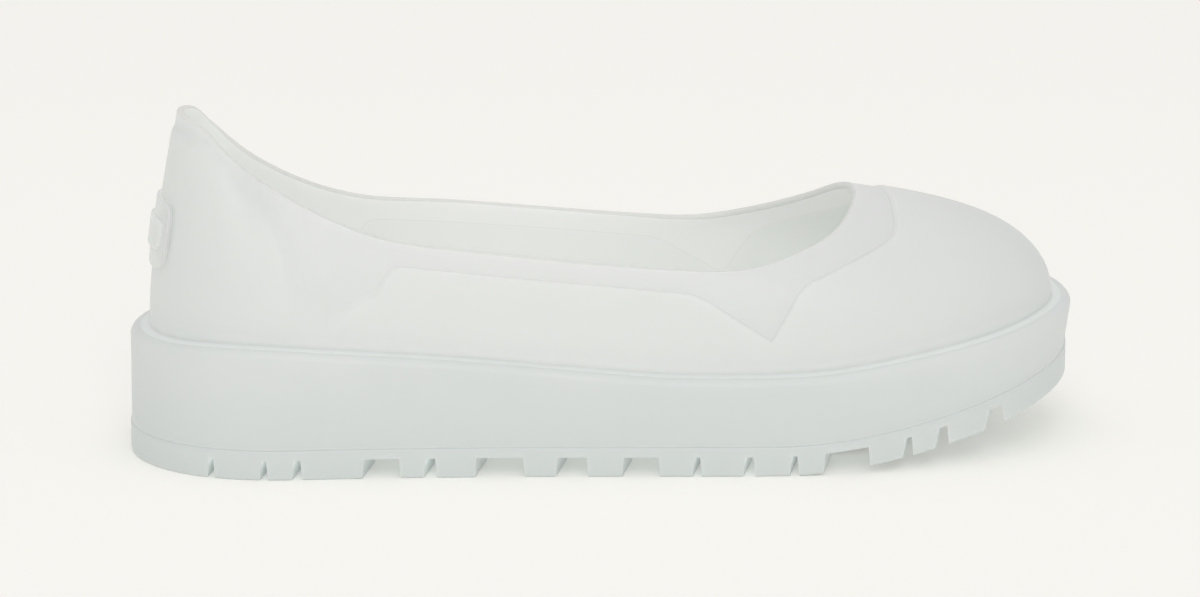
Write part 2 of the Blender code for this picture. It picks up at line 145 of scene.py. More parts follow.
RibCurve = namedtuple("RibCurve", "station lower_rise upper_run upper_rise")
RIB_CURVES = (
    RibCurve(0.00, 0.33, 0.60, 0.67),
    RibCurve(0.20, 0.36, 0.50, 0.70),
    RibCurve(0.50, 0.42, 0.42, 0.72),
    RibCurve(0.70, 0.50, 0.36, 0.82),
    RibCurve(0.85, 0.57, 0.41, 0.82),
    RibCurve(1.00, 0.60, 0.45, 0.77),
)

BandCorner = namedtuple("BandCorner", "station height rounding")
BAND_EDGE = (
    BandCorner(-0.100, 0.955, 0.000),
    BandCorner(0.075, 0.955, 0.012),
    BandCorner(0.106, 0.835, 0.015),
    BandCorner(0.153, 0.730, 0.022),
    BandCorner(0.169, 0.560, 0.020),
    BandCorner(0.194, 0.452, 0.000),
    BandCorner(0.217, 0.502, 0.006),
    BandCorner(0.240, 0.522, 0.008),
    BandCorner(0.262, 0.603, 0.010),
    BandCorner(0.575, 0.516, 0.018),
    BandCorner(0.650, 0.382, 0.000),
    BandCorner(0.683, 0.535, 0.018),
    BandCorner(0.792, 0.640, 0.014),
    BandCorner(0.820, 0.900, 0.000),
)

EdgeGroove = namedtuple("EdgeGroove", "start end")
EDGE_GROOVES = (
    EdgeGroove(0.068, 0.077),
    EdgeGroove(0.121, 0.130),
    EdgeGroove(0.154, 0.165),
    EdgeGroove(0.226, 0.267),
    EdgeGroove(0.290, 0.304),
    EdgeGroove(0.342, 0.395),
    EdgeGroove(0.425, 0.460),
    EdgeGroove(0.493, 0.534),
    EdgeGroove(0.566, 0.576),
    EdgeGroove(0.618, 0.631),
    EdgeGroove(0.666, 0.676),
    EdgeGroove(0.701, 0.750),
    EdgeGroove(0.786, 0.797),
    EdgeGroove(0.822, 0.836),
    EdgeGroove(0.879, 0.898),
)
CENTRE_GROOVES = (0.17, 0.27, 0.37, 0.47, 0.57, 0.67, 0.77, 0.86)

# How far the thick panels' edge rounds off, in a soft slope at the heel and a crisp one beside it
StepWidth = namedtuple("StepWidth", "station width")
STEP_WIDTHS = (
    StepWidth(0.00, 1.6 * MM),
    StepWidth(0.08, 5.0 * MM),
    StepWidth(0.18, 6.5 * MM),
    StepWidth(0.23, 3.2 * MM),
    StepWidth(0.27, 1.1 * MM),
    StepWidth(0.70, 1.0 * MM),
    StepWidth(0.78, 1.3 * MM),
    StepWidth(0.84, 2.2 * MM),
)

# Looks only: how finely the surfaces are made
COLUMNS = 640
PANEL_ROWS = 22
BAND_ROWS = 10
RIM_ROWS = 9
WALL_ROWS = 10
LIP_ROWS = 9
CREASE_STEPS = 4
TREAD_EDGE_STEPS = 4
CORNER_STEPS = 10
EDGE_STEPS = 8
BADGE_POINTS = 96
BADGE_EASE_STEPS = 3
BADGE_FACE_SHARES = (0.03, 0.2, 0.4, 0.6, 0.8)
BADGE_SEARCH_START = 0.5
BADGE_SEARCH_STEPS = 6
PLAN_POINTS = 72
OUTLINE_POINTS = 5000
RISE_SEARCH_STEPS = 40
TURN_NUDGE = 0.002
SHARP_ANGLE = math.radians(40)

# Looks only: rounded edges and the joints between the pieces
CLEARANCE = 0.02 * MM
SLOPE_REACH = 0.8
STEP_FOOT_SHARE = 0.25
LEAST_CROSSING = 0.05
LEAST_PANEL_RISE = 0.01
LEAST_BAND_RISE = 0.005
RIM_LIFT = 0.9 * MM
CUP_FOOT_INSET = 0.05 * MM
CUP_FOOT_EASE = 0.1 * MM
CUP_WALL_START = 0.9 * MM
CREASE_DROP = 1.2 * LEDGE_FALL
CREASE_FILLET = 1.4 * MM
CREASE_FILLET_RISE = 0.55 * CREASE_FILLET
CREASE_INSET = LIP_LEDGE + FIT_GAP - CLEARANCE
FLOOR_EASE = 1.0 * MM
LUG_BEVEL = 0.5 * MM
BADGE_EASE = 0.7 * MM

# Insets and drops of the rows below the tread's upper face
TreadRow = namedtuple("TreadRow", "inset drop")
TREAD_TOP_ROWS = (
    TreadRow(0.00 * MM, 1.60 * MM),
    TreadRow(0.00 * MM, 0.35 * MM),
    TreadRow(0.25 * MM, 0.01 * MM),
)

# Painted light: emission stored on the points, standing in for light that passes through the rubber; it
# lifts the shade inside the upper and at the joints
INNER_PAINTED_GLOW = 0.085
CREASE_GLOW = 0.10
CREASE_REACH = 2.0 * MM
TREAD_SEAM_GLOW = 0.11
BADGE_BACK_GLOW = 0.6
BADGE_EDGE_GLOW = 0.30

# The same painted glow in the tread's grooves, lifting the shade in them: grooves up to a width get all
# of it, at the outer end of each groove.
# Their walls get points at the places, which are distances inside the tread's outline.
GROOVE_GLOW = 0.48
DEEP_GROOVE_GLOW = 0.22
GROOVE_GLOW_WIDTH = 4 * MM
GROOVE_GLOW_PLACES = (0.6 * MM, 4 * MM, 10 * MM)
GROOVE_SKIN = 0.3 * MM
TREAD_SKIN = 0.7 * MM

# Painted shade: thin darker lines along the rim and the crisp part of the panels' edge
RIM_LINE_SHADE = 1.65
SHADE_STEP_WIDTH = 2.4 * MM
SHADE_STEP_FADE = 1.2 * MM

# Rubbers, from the upper's warm white to the tread's green-grey; heights are above the floor
Rubber = namedtuple("Rubber", "name colour deep_colour deep_below light_above end_share "
                              "scatter scatter_reach grain_size grain_depth")
UPPER_RUBBER = Rubber(
    name="upper_rubber",
    colour=(0.935, 0.93, 0.90),
    deep_colour=(0.775, 0.805, 0.78),
    deep_below=0.036,
    light_above=0.080,
    end_share=0.85,
    scatter=1.0,
    scatter_reach=0.012,
    grain_size=900,
    grain_depth=0.00012,
)
CUP_RUBBER = Rubber(
    name="sole_cup_rubber",
    colour=(0.79, 0.81, 0.80),
    deep_colour=(0.70, 0.74, 0.735),
    deep_below=0.008,
    light_above=0.036,
    end_share=0.0,
    scatter=0.3,
    scatter_reach=0.003,
    grain_size=900,
    grain_depth=0.00012,
)
TREAD_RUBBER = Rubber(
    name="outsole_rubber",
    colour=(0.72, 0.762, 0.755),
    deep_colour=(0.68, 0.726, 0.72),
    deep_below=0.0,
    light_above=0.012,
    end_share=0.0,
    scatter=0.3,
    scatter_reach=0.003,
    grain_size=700,
    grain_depth=0.00016,
)
BADGE_RUBBER = Rubber(
    name="badge_rubber",
    colour=(0.85, 0.86, 0.84),
    deep_colour=(0.80, 0.82, 0.80),
    deep_below=0.050,
    light_above=0.080,
    end_share=0.3,
    scatter=1.0,
    scatter_reach=0.006,
    grain_size=900,
    grain_depth=0.00012,
)
RUBBER_IOR = 1.48
RUBBER_SPECULAR = 0.42
RUBBER_COAT = 0.12
RUBBER_COAT_ROUGHNESS = 0.35
SCATTER_BALANCE = (1.0, 1.0, 0.92)
CLOUD_SIZE = 22
CLOUD_DETAIL = 3
GRAIN_DETAIL = 4
GRAIN_STRENGTH = 0.25
ROUGHNESS_LOW = 0.40
ROUGHNESS_HIGH = 0.54

# Painted shade: darker tones at the heel and toe, by the distance from the middle, and on thin lines
END_SHADE_COLOUR = (0.63, 0.67, 0.665)
END_SHADE_START = 0.085
END_SHADE_FULL = 0.140
LINE_SHADE_COLOUR = (0.66, 0.67, 0.64)
LINE_SHADE_STRENGTH = 0.6
THICK_STRENGTH = 0.5

# Plain pale studio
FLOOR_HALF = 4.0
FLOOR_COLOUR = (0.88, 0.871, 0.842)
FLOOR_GLOW_COLOUR = (0.895, 0.885, 0.855)
FLOOR_GLOW = 0.205
FLOOR_ROUGHNESS = 0.9
SKY_COLOUR = (1.0, 0.995, 0.985)
SKY_MIDDLE = 0.25
SKY_SIDES = 0.95
SKY_MIDDLE_STRENGTH = 0.72
SKY_SIDES_STRENGTH = 0.58
Lamp = namedtuple("Lamp", "name place aim size power colour")
LAMPS = (
    Lamp("top_lamp", (-0.1, -0.4, 3.0), (0, 0, 0.03), (1.6, 2.4), 8.0, (1.0, 0.99, 0.97)),
    Lamp("front_lamp", (-0.6, -6.4, 4.6), (0, 0, 0.05), (3.2, 3.6), 100.0, (1.0, 0.995, 0.985)),
)

# Camera of the photograph, whose width and focal length are in its pixels
PHOTO_WIDTH = 1200
PHOTO_FOCAL = 6575
CAMERA_AZIMUTH = math.radians(-7.8)
CAMERA_ELEVATION = math.radians(12.5)
CAMERA_DISTANCE = 2.0
CAMERA_TARGET = (-0.0013, 0, 0.0431)
CAMERA_SENSOR = 36
CAMERA_FAR = 50


def read_table(rows, column, at):
    """Read a column at a station, on a smooth curve through the table's rows."""
    knots = [row.station for row in rows]
    values = [getattr(row, column) for row in rows]
    at = min(max(at, knots[0]), knots[-1])
    index = min(bisect_right(knots, at) - 1, len(knots) - 2)

    def slope(knot):
        before = max(knot - 1, 0)
        after = min(knot + 1, len(knots) - 1)
        return (values[after] - values[before]) / (knots[after] - knots[before])

    width = knots[index + 1] - knots[index]
    share = (at - knots[index]) / width
    rest = 1 - share
    start = values[index] * (1 + 2 * share) * rest * rest + slope(index) * width * share * rest * rest
    end = values[index + 1] * (3 - 2 * share) * share * share
    return start + end - slope(index + 1) * width * rest * share * share


def rounded_end(distance, length, squareness):
    """Share of the full width at a distance from a rounded end."""
    if distance >= length:
        return 1.0
    reach = 1 - max(distance, 0) / length
    return (1 - reach ** squareness) ** (1 / squareness)


def station_at(turn):
    """Distance from the heel at a turn around the outline, which starts at the heel."""
    return SOLE_LENGTH * (1 - math.cos(turn)) / 2


def side_of(turn):
    """-1 on the outer side of the foot, 1 on the inner side."""
    return -1 if math.sin(turn) > 0 else 1


def edge_across(station, side, inset):
    """Place across the sole, a distance inside its edge, at a station; side 0 is the middle."""
    share = station / SOLE_LENGTH
    centre = BALL_HALF_WIDTH * read_table(SOLE_PLAN, "centre", share)
    half_width = BALL_HALF_WIDTH * read_table(SOLE_PLAN, "half_width", share)
    half_width *= rounded_end(station, HEEL_ROUND, HEEL_SQUARENESS)
    half_width *= rounded_end(SOLE_LENGTH - station, TOE_ROUND, TOE_SQUARENESS)
    return centre + side * (half_width - inset)


def sole_outline(turn):
    """Point of the sole's widest outline, with its station as x."""
    station = station_at(turn)
    return Vector((station, edge_across(station, side_of(turn), 0)))


def inset_outline(turn, inset):
    """Point of the sole's outline, moved in at right angles to it."""
    along = (sole_outline(turn + TURN_NUDGE) - sole_outline(turn - TURN_NUDGE)).normalized()
    return sole_outline(turn) + inset * Vector((-along.y, along.x))


def toe_reach(station):
    """0 along the flat of the sole, 1 at the tip of the toe."""
    return max(station - SPRING_START, 0) / (SOLE_LENGTH - SPRING_START)


def spring(station):
    """Height that the toe spring adds to the sole at a station."""
    return TOE_SPRING * toe_reach(station) ** SPRING_POWER


def wall_inset(station):
    """How far the wall's foot stands inside the lip, at the drafted toe."""
    return TOE_DRAFT * min(toe_reach(station), 1) ** 2


def tread_top(station):
    """Height of the tread's upper face."""
    return spring(station) + TREAD_THICKNESS


def lip_height(station):
    """Height of the crease between the lip and the upper."""
    return LIP_HEIGHT * read_table(LIP_LINE, "height", station / SOLE_LENGTH)


def collar_station(station):
    """Station of the collar's point that belongs to a station of the lip."""
    lean = HEEL_LEAN * max(1 - station / HEEL_LEAN_REACH, 0) ** 2
    reach = max(station - VAMP_START, 0) / (SOLE_LENGTH - VAMP_START)
    return station + lean - VAMP_LENGTH * reach ** VAMP_POWER


def collar_point(turn):
    """Point of the collar's loop on the panel surface."""
    margin = LIP_LEDGE + FIT_GAP
    start = collar_station(margin)
    end = collar_station(SOLE_LENGTH - margin)
    station = collar_station(margin + (SOLE_LENGTH - 2 * margin) * (1 - math.cos(turn)) / 2)
    share = station / SOLE_LENGTH
    half_width = BALL_HALF_WIDTH * read_table(COLLAR_LINE, "half_width", share)
    half_width *= rounded_end(station - start, COLLAR_HEEL_ROUND, HEEL_SQUARENESS)
    half_width *= rounded_end(end - station, COLLAR_THROAT_ROUND, THROAT_SQUARENESS)
    across = BALL_HALF_WIDTH * read_table(COLLAR_LINE, "centre", share) + side_of(turn) * half_width
    return Vector((station, across, COLLAR_HEIGHT * read_table(COLLAR_LINE, "height", share)))


def rib_handles(turn):
    """The four handles of the rib that runs from the lip to the collar at a turn."""
    plan = inset_outline(turn, LIP_LEDGE + FIT_GAP)
    lip = Vector((plan.x, plan.y, lip_height(plan.x)))
    collar = collar_point(turn)
    share = station_at(turn) / SOLE_LENGTH
    way = collar - lip
    lower = lip + Vector((0, 0, way.z * read_table(RIB_CURVES, "lower_rise", share)))
    run = read_table(RIB_CURVES, "upper_run", share)
    upper = lip + Vector((way.x * run, way.y * run, way.z * read_table(RIB_CURVES, "upper_rise", share)))
    return lip, lower, upper, collar


def ring_turns(count=COLUMNS):
    """Turns of the points of a ring, from the heel by the outer side to the toe and back."""
    return [2 * math.pi * index / count for index in range(count)]


def plan_middle():
    """Middle of the tread's bounding box in plan, which becomes the origin."""
    points = [inset_outline(turn, -TREAD_STEP) for turn in ring_turns(PLAN_POINTS)]
    across = [point.y for point in points]
    return np.array(((SOLE_LENGTH - TREAD_STEP) / 2, (max(across) + min(across)) / 2, 0))


MIDDLE = plan_middle()


def rounded_band_edge():
    """Points of the band's lower edge with its corners rounded, as stations and heights."""
    corners = []
    for row in BAND_EDGE:
        corners.append((np.array((row.station * SOLE_LENGTH, row.height * COLLAR_HEIGHT)),
                        row.rounding * SOLE_LENGTH))
    points = [corners[0][0]]
    for before, (corner, rounding), after in zip(corners, corners[1:], corners[2:]):
        if rounding == 0:
            points.append(corner)
            continue
        start = corner + (before[0] - corner) / np.linalg.norm(before[0] - corner) * rounding
        end = corner + (after[0] - corner) / np.linalg.norm(after[0] - corner) * rounding
        for step in range(CORNER_STEPS + 1):
            share = step / CORNER_STEPS
            rest = 1 - share
            points.append(start * rest ** 2 + corner * 2 * share * rest + end * share ** 2)
    points.append(corners[-1][0])
    return np.array(points)


def unit(vectors):
    """Vectors at length one."""
    return vectors / np.linalg.norm(vectors, axis=-1, keepdims=True)


def along_ribs(handles, rises):
    """Points of the ribs at a rise for each column and row, and the ribs' directions there."""
    rise = rises[..., None]
    rest = 1 - rise
    lip, lower, upper, collar = (handles[:, None, corner] for corner in range(4))
    points = (lip * rest ** 3 + lower * 3 * rest ** 2 * rise + upper * 3 * rest * rise ** 2
              + collar * rise ** 3)
    ways = 3 * ((lower - lip) * rest ** 2 + (upper - lower) * 2 * rest * rise
                + (collar - upper) * rise ** 2)
    return points, ways


def outward(points, ways):
    """Outward directions of a surface given by columns of points and the columns' directions."""
    around = np.roll(points, -1, axis=0) - np.roll(points, 1, axis=0)
    return unit(np.cross(around, ways))


def band_rises(handles):
    """Rise at which each rib crosses the lower edge of the thin band."""
    edge = rounded_band_edge()
    low = np.zeros(len(handles))
    high = np.ones(len(handles))
    for _ in range(RISE_SEARCH_STEPS):
        middle = (low + high) / 2
        points, _ways = along_ribs(handles, middle[:, None])
        inside = points[:, 0, 2] > np.interp(points[:, 0, 0], edge[:, 0], edge[:, 1])
        high = np.where(inside, middle, high)
        low = np.where(inside, low, middle)
    return (low + high) / 2


def step_profile():
    """Rows across the panels' edge: distance as a share of the edge's width, and the depth there."""
    rows = []
    for step in range(EDGE_STEPS + 1):
        share = step / EDGE_STEPS
        rows.append((-1 + share, PANEL_STEP * (1 - math.cos(math.pi * share * SLOPE_REACH)) / 2))
    deepest = rows[-1][1]
    shares = np.array([row[0] for row in rows] + [STEP_FOOT_SHARE])
    depths = np.array([row[1] for row in rows] + [deepest]) * PANEL_STEP / deepest
    return shares, depths


def grid_mesh(name, rings, looped):
    """Closed mesh through rings of equal length; each ring is an array of points with stations."""
    count = len(rings[0])
    points = np.concatenate(rings) - MIDDLE
    faces = []
    last = len(rings) if looped else len(rings) - 1
    for row in range(last):
        lower = row * count
        upper = (row + 1) % len(rings) * count
        for step in range(count):
            after = (step + 1) % count
            faces.append((lower + step, lower + after, upper + after, upper + step))
    if not looped:
        for first in (0, (len(rings) - 1) * count):
            faces.append((first, first + 1, first + count - 1))
            for step in range(1, count // 2 - 1):
                faces.append((first + step, first + step + 1,
                              first + count - step - 1, first + count - step))
            half = first + count // 2
            faces.append((half - 1, half, half + 1))
    mesh = bpy.data.meshes.new(name)
    mesh.from_pydata([tuple(point) for point in points.tolist()], [], faces)
    return mesh


def add_object(name, mesh):
    """Object of a mesh whose faces all look outward."""
    shell = bmesh.new()
    shell.from_mesh(mesh)
    bmesh.ops.recalc_face_normals(shell, faces=shell.faces)
    shell.to_mesh(mesh)
    shell.free()
    item = bpy.data.objects.new(name, mesh)
    bpy.context.collection.objects.link(item)
    return item


def paint(mesh, name, values):
    """Store one number for each point, for the materials."""
    layer = mesh.attributes.new(name, "FLOAT", "POINT")
    layer.data.foreach_set("value", np.asarray(values, dtype=np.float32).ravel())


def smooth(item):
    """Shade smooth between sharp edges."""
    item.data.shade_smooth()
    item.data.set_sharp_from_angle(angle=SHARP_ANGLE)


def hold(item, node):
    """Put a piece in the place of a solid."""
    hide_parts(node)
    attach(item, "root")


def make_upper():
    """Hollow upper with thick panels, a soft step down to the thin band, and a rounded rim."""
    handles = np.array([rib_handles(turn) for turn in ring_turns()])
    edge = band_rises(handles)
    edge_points, edge_ways = along_ribs(handles, edge[:, None])
    around = unit(np.roll(edge_points, -1, axis=0) - np.roll(edge_points, 1, axis=0))[:, 0]
    rib_way = unit(edge_ways)[:, 0]
    across = np.sqrt(np.clip(1 - np.sum(around * rib_way, axis=1) ** 2, LEAST_CROSSING, 1))
    per_metre = 1 / (across * np.linalg.norm(edge_ways[:, 0], axis=1))

    _collar, collar_ways = along_ribs(handles, np.ones((COLUMNS, 1)))
    rim_rise = 1 - RIM_LIFT / np.linalg.norm(collar_ways[:, 0], axis=1)

    shares, step_depths = step_profile()
    stations = edge_points[:, 0, 0] / SOLE_LENGTH
    width = np.array([read_table(STEP_WIDTHS, "width", station) for station in stations])
    step_rises = edge[:, None] + shares[None, :] * (per_metre * width)[:, None]
    step_rises = np.clip(step_rises, LEAST_PANEL_RISE, rim_rise[:, None] - LEAST_BAND_RISE)
    panel_shares = np.linspace(0, 1, PANEL_ROWS, endpoint=False)
    panel_rises = step_rises[:, :1] * panel_shares[None, :]
    band_shares = np.linspace(0, 1, BAND_ROWS + 1)[1:]
    band_start = step_rises[:, -1:]
    band_rows = band_start + (rim_rise[:, None] - band_start) * band_shares[None, :]
    rises = np.concatenate([panel_rises, step_rises, band_rows], axis=1)
    depths = np.concatenate([np.zeros(PANEL_ROWS), step_depths, np.full(BAND_ROWS, PANEL_STEP)])
    points, ways = along_ribs(handles, rises)
    outer = points - depths[None, :, None] * outward(points, ways)

    collar, collar_ways = along_ribs(handles, rim_rise[:, None])
    collar_out = outward(collar, collar_ways)[:, 0]
    collar_up = unit(collar_ways)[:, 0]
    middle_depth = (PANEL_STEP + PANEL_WALL) / 2
    half_wall = (PANEL_WALL - PANEL_STEP) / 2
    rim = []
    for step in range(1, RIM_ROWS):
        angle = math.pi * step / RIM_ROWS
        depth = middle_depth - half_wall * math.cos(angle)
        rim.append(collar[:, 0] - depth * collar_out + RIM_LIFT * math.sin(angle) * collar_up)

    inner_rises = rises[:, ::-1]
    inside, inside_ways = along_ribs(handles, inner_rises)
    inner = inside - PANEL_WALL * outward(inside, inside_ways)

    lip = handles[:, 0]
    floor = np.array([tread_top(point[0]) + CUP_FLOOR + FIT_GAP for point in lip])
    outer_foot = lip.copy()
    outer_foot[:, 2] = floor
    inner_foot = inner[:, -1].copy()
    inner_foot[:, 2] = floor

    rings = [outer_foot]
    rings += [outer[:, row] for row in range(outer.shape[1])]
    rings += rim
    rings += [inner[:, row] for row in range(inner.shape[1])]
    rings.append(inner_foot)
    mesh = grid_mesh("upper_shell", rings, True)

    # Painted shade: darker stripes at the foot of the crisp part of the panels' edge and along the rim
    crisp = np.clip((SHADE_STEP_WIDTH - width) / SHADE_STEP_FADE, 0, 1)
    foot = np.zeros(outer.shape[1])
    foot[PANEL_ROWS + EDGE_STEPS] = 1
    foot_shade = [crisp * value for value in foot]
    thick = [np.full(COLUMNS, 1 - min(depth / PANEL_STEP, 1)) for depth in depths]
    rim_shade = [np.full(COLUMNS, RIM_LINE_SHADE)] * len(rim)
    none = [np.zeros(COLUMNS)]
    full = [np.ones(COLUMNS)]
    paint(mesh, "thick", np.concatenate(full + thick + none * len(rim) + thick[::-1] + full))
    paint(mesh, "shade_line", np.concatenate(none + foot_shade + rim_shade + foot_shade[::-1] + none))
    # Painted light: emission near the crease and over the whole inside, lifting the shade there
    near_crease = []
    for row in range(outer.shape[1]):
        distance = np.linalg.norm(outer[:, row] - lip, axis=1)
        near_crease.append(CREASE_GLOW * np.exp(-(distance / CREASE_REACH) ** 2))
    inner_glow = [np.full(COLUMNS, INNER_PAINTED_GLOW)] * (inner.shape[1] + 1)
    paint(mesh, "glow", np.concatenate(full + near_crease + none * len(rim) + inner_glow))

    item = add_object("upper_shell", mesh)
    smooth(item)
    hold(item, "upper")
    return item


def sole_ring(inset, height):
    """Ring inside the sole's outline; inset and height are worked out from a point's station."""
    ring = []
    for turn in ring_turns():
        point = inset_outline(turn, inset(station_at(turn)))
        ring.append((point.x, point.y, height(point.x)))
    return np.array(ring)


def make_sole_cup():
    """Side wall with a rounded lip, a soft ledge, and the floor inside."""
    def wall_start(station):
        return tread_top(station) + CUP_WALL_START

    def wall_end(station):
        return lip_height(station) - LEDGE_FALL - LIP_ROUND

    rows = [
        (lambda station: wall_inset(station) + CUP_FOOT_INSET, tread_top),
        (wall_inset, lambda station: tread_top(station) + CUP_FOOT_EASE),
        (wall_inset, wall_start),
    ]
    for step in range(1, WALL_ROWS + 1):
        share = step / WALL_ROWS
        rows.append((
            lambda station, share=share: wall_inset(station) * (1 - share),
            lambda station, share=share: wall_start(station) * (1 - share) + wall_end(station) * share,
        ))
    for step in range(1, LIP_ROWS + 1):
        angle = math.pi / 2 * step / LIP_ROWS
        inset = LIP_ROUND * (1 - math.cos(angle))
        drop = LEDGE_FALL + LIP_ROUND * (1 - math.sin(angle))
        rows.append((lambda station, inset=inset: inset,
                     lambda station, drop=drop: lip_height(station) - drop))
    flat = LIP_LEDGE - LIP_ROUND - CREASE_FILLET
    rows.append((lambda station: LIP_ROUND + flat / 2, lambda station: lip_height(station) - CREASE_DROP))
    for step in range(CREASE_STEPS + 1):
        angle = math.pi / 2 * step / CREASE_STEPS
        inset = CREASE_INSET - CREASE_FILLET * (1 - math.sin(angle))
        drop = CREASE_DROP - CREASE_FILLET_RISE * (1 - math.cos(angle))
        rows.append((lambda station, inset=inset: inset,
                     lambda station, drop=drop: lip_height(station) - drop))
    for lift in (FLOOR_EASE, 0):
        rows.append((lambda station: CREASE_INSET,
                     lambda station, lift=lift: tread_top(station) + CUP_FLOOR + lift))
    rings = [sole_ring(inset, height) for inset, height in rows]
    mesh = grid_mesh("sole_cup_wall", rings, False)
    # The last rings are the ledge, its rise to the upper and the inner face
    crease_rings = CREASE_STEPS + 4
    # Painted light: emission on the two rings at the tread seam and on the ledge and crease rings,
    # lifting the shade in these joints
    glow = [TREAD_SEAM_GLOW] * 2 + [0.0] * (len(rings) - 2 - crease_rings) + [CREASE_GLOW] * crease_rings
    paint(mesh, "glow", np.repeat(glow, COLUMNS))
    item = add_object("sole_cup_wall", mesh)
    smooth(item)
    hold(item, "sole_cup")
    return item


def groove_end(start, end, across):
    """Four corners of a groove's section at one place across the sole."""
    corners = []
    for station, depth in ((start - GROOVE_DRAFT, -GROOVE_DEPTH), (start + GROOVE_DRAFT, GROOVE_DEPTH),
                           (end - GROOVE_DRAFT, GROOVE_DEPTH), (end + GROOVE_DRAFT, -GROOVE_DEPTH)):
        corners.append((station, across, spring(station) + depth))
    return corners


def add_bar(points, faces, sections):
    """Add one groove's bar, through its four-sided sections, to a cutter's points and faces."""
    first = len(points)
    last = first + 4 * (len(sections) - 1)
    points += [corner for section in sections for corner in section]
    faces.append(tuple(first + corner for corner in range(4)))
    faces.append(tuple(last + corner for corner in range(4)))
    for lower in range(first, last, 4):
        for corner in range(4):
            after = (corner + 1) % 4
            faces.append((lower + corner, lower + after, lower + 4 + after, lower + 4 + corner))


def groove_cutter():
    """All the grooves across the tread: short ones in from the edges and bent ones between."""
    points = []
    faces = []
    edge_end = EDGE_LUG_DEPTH + CHANNEL_WIDTH / 4
    centre_end = EDGE_LUG_DEPTH + CHANNEL_WIDTH * 3 / 4
    for groove in EDGE_GROOVES:
        start = groove.start * SOLE_LENGTH
        end = groove.end * SOLE_LENGTH
        for side in (-1, 1):
            outside = edge_across((start + end) / 2, side, -EDGE_LUG_DEPTH / 2)
            inside = edge_across((start + end) / 2, side, edge_end)
            shift = EDGE_GROOVE_SLANT * EDGE_LUG_DEPTH
            back = groove_end(start - shift / 2, end - shift / 2, outside)
            front = groove_end(start + shift, end + shift, inside)
            between = []
            for inset in GROOVE_GLOW_PLACES:
                share = (inset + EDGE_LUG_DEPTH / 2) / (edge_end + EDGE_LUG_DEPTH / 2)
                between.append((np.array(back) * (1 - share) + np.array(front) * share).tolist())
            add_bar(points, faces, [back, *between, front])
    for share in CENTRE_GROOVES:
        start = share * SOLE_LENGTH
        end = start + CENTRE_GROOVE_WIDTH
        point = groove_end(start + CENTRE_GROOVE_POINT, end + CENTRE_GROOVE_POINT,
                           edge_across(start, 0, 0))
        outer_end = groove_end(start, end, edge_across(start, -1, centre_end))
        inner_end = groove_end(start, end, edge_across(start, 1, centre_end))
        add_bar(points, faces, [outer_end, point, inner_end])
    mesh = bpy.data.meshes.new("groove_cutter")
    mesh.from_pydata([tuple(np.array(point) - MIDDLE) for point in points], [], faces)
    return add_object("groove_cutter", mesh)


def channel_cutter():
    """Channel round the tread between its edge lugs and its centre."""
    outer = EDGE_LUG_DEPTH
    inner = EDGE_LUG_DEPTH + CHANNEL_WIDTH
    rings = []
    for inset, depth in ((outer, -CHANNEL_DEPTH), (outer, CHANNEL_DEPTH),
                         (inner, CHANNEL_DEPTH), (inner, -CHANNEL_DEPTH)):
        rings.append(sole_ring(lambda station: inset, lambda station: spring(station) + depth))
    return add_object("channel_cutter", grid_mesh("channel_cutter", rings, True))


def apply_modifiers(item):
    """Turn a piece's modifiers into plain mesh."""
    made = item.evaluated_get(bpy.context.evaluated_depsgraph_get())
    mesh = bpy.data.meshes.new_from_object(made)
    item.modifiers.clear()
    item.data = mesh


def groove_glow(station, inset):
    """Painted glow on a groove's walls, lifting the shade in it: most near the outer face and in narrow
    grooves.
    """
    straight = station - EDGE_GROOVE_SLANT * inset
    misses = [abs(straight - (groove.start + groove.end) / 2 * SOLE_LENGTH) for groove in EDGE_GROOVES]
    nearest = EDGE_GROOVES[misses.index(min(misses))]
    width = (nearest.end - nearest.start) * SOLE_LENGTH
    outer = GROOVE_GLOW * min(GROOVE_GLOW_WIDTH / width, 1)
    return outer + (DEEP_GROOVE_GLOW - outer) * min(inset / EDGE_LUG_DEPTH, 1)


def make_outsole():
    """Tread layer with its edge lugs, channel and centre lugs, all with eased edges."""
    def foot_inset(station):
        return wall_inset(station) - TREAD_STEP

    rings = []
    for step in range(TREAD_EDGE_STEPS + 1):
        angle = math.pi / 2 * step / TREAD_EDGE_STEPS
        inset = TREAD_EDGE_ROUND * (1 - math.sin(angle))
        lift = TREAD_EDGE_ROUND * (1 - math.cos(angle))
        rings.append(sole_ring(lambda station: foot_inset(station) + inset,
                               lambda station: spring(station) + lift))
    for row in TREAD_TOP_ROWS:
        rings.append(sole_ring(lambda station: foot_inset(station) + row.inset,
                               lambda station: tread_top(station) - row.drop))
    item = add_object("outsole_tread", grid_mesh("outsole_tread", rings, False))
    for cutter in (channel_cutter(), groove_cutter()):
        boolean = item.modifiers.new(cutter.name, "BOOLEAN")
        boolean.operation = "DIFFERENCE"
        boolean.solver = "EXACT"
        boolean.use_self = True
        boolean.object = cutter
        apply_modifiers(item)
        bpy.data.objects.remove(cutter, do_unlink=True)
    bevel = item.modifiers.new("eased_edges", "BEVEL")
    bevel.width = LUG_BEVEL
    bevel.segments = 2
    bevel.limit_method = "ANGLE"
    bevel.angle_limit = SHARP_ANGLE
    apply_modifiers(item)
    outline = np.array([inset_outline(turn, foot_inset(station_at(turn)))
                        for turn in ring_turns(OUTLINE_POINTS)])
    # Painted light: emission on the grooves' walls, lifting the shade in the grooves
    glow = []
    for vertex in item.data.vertices:
        station, across, height = np.array(vertex.co) + MIDDLE
        lift = height - spring(station)
        inset = np.min(np.hypot(outline[:, 0] - station, outline[:, 1] - across))
        if inset > GROOVE_SKIN and TREAD_SKIN < lift < GROOVE_DEPTH + GROOVE_SKIN:
            glow.append(groove_glow(station, inset))
        else:
            glow.append(0.0)
    paint(item.data, "glow", glow)
    smooth(item)
    hold(item, "outsole")
    return item


